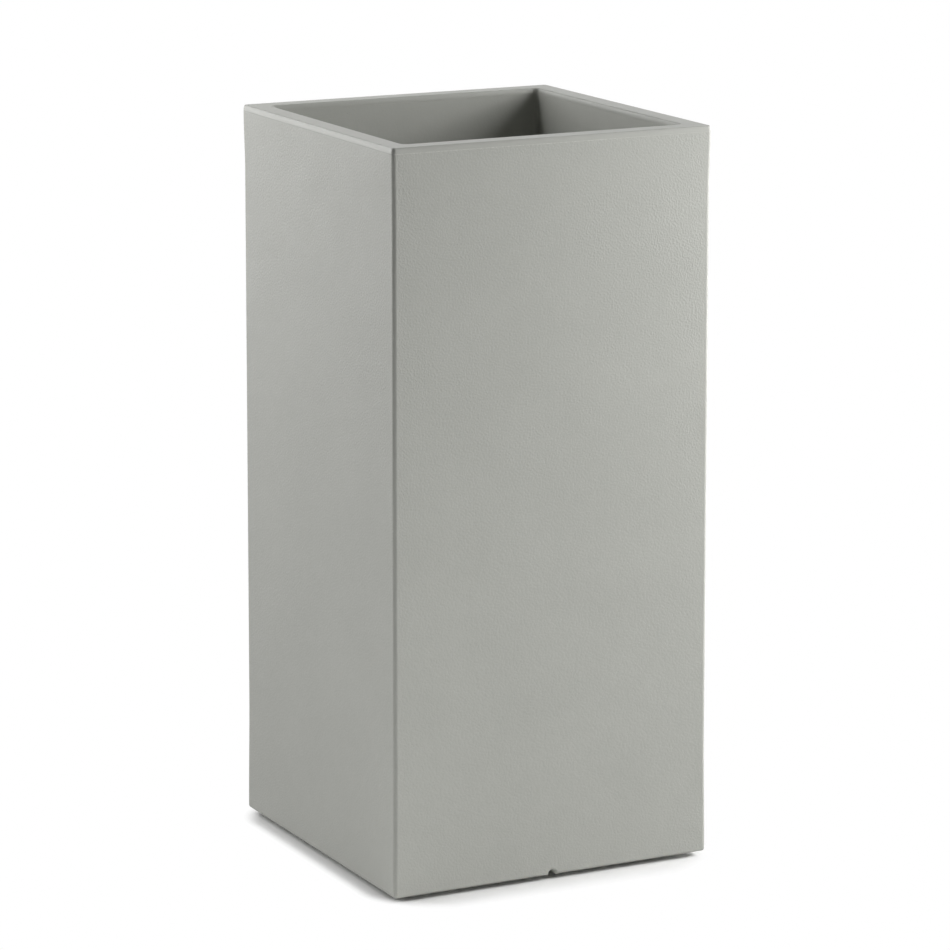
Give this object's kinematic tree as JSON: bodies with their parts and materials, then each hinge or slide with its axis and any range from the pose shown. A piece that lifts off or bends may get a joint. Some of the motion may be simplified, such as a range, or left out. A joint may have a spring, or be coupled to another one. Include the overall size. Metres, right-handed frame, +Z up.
{
  "type": "tall square planter",
  "caption": "Tall square floor planter with double walls, a flat rounded rim, a lift-out perforated shelf, a stoppered drain, a recessed base and low rubber feet.",
  "frame": {"origin": "on the floor, under the middle of the planter", "axes": "+Z up; -Y towards the front, the face with the drain channel in its bottom edge; +X to the right seen from the front"},
  "size_m": [0.4, 0.4, 0.85],
  "materials": {
    "grained_shell": "warm light grey, matt, with a fine orange-peel grain",
    "smooth_shell": "the same warm light grey, smoother, satin matt",
    "dark_plastic": "dark grey moulded plastic, matt",
    "black_plastic": "black moulded plastic, satin",
    "rubber": "black, matt",
    "steel": "stainless, lightly brushed"
  },
  "bodies": {
    "planter": {"outer_shell": "grained_shell", "rim_frame": "smooth_shell", "inner_liner": "smooth_shell", "base_pan": "smooth_shell", "shelf_cleat_front": "smooth_shell", "shelf_cleat_back": "smooth_shell", "shelf_cleat_left": "smooth_shell", "shelf_cleat_right": "smooth_shell", "drain_fitting": "black_plastic", "drain_flange_seal": "rubber", "drain_nut_seal": "rubber", "drain_lock_nut": "black_plastic", "foot_pad_front_left": "rubber", "foot_screw_front_left": "steel", "foot_nut_front_left": "steel", "foot_pad_front_right": "rubber", "foot_screw_front_right": "steel", "foot_nut_front_right": "steel", "foot_pad_back_right": "rubber", "foot_screw_back_right": "steel", "foot_nut_back_right": "steel", "foot_pad_back_left": "rubber", "foot_screw_back_left": "steel", "foot_nut_back_left": "steel"},
    "shelf": {"planting_shelf": "dark_plastic"},
    "stopper": {"drain_stopper": "rubber"}
  },
  "joints": [
    {"name": "shelf_lift", "type": "slide", "parent": "planter", "child": "shelf", "axis": [0, 0, 1], "range_m": [0, 0.42]},
    {"name": "stopper_pull", "type": "slide", "parent": "planter", "child": "stopper", "axis": [0, 0, 1], "range_m": [0, 0.06]}
  ]
}
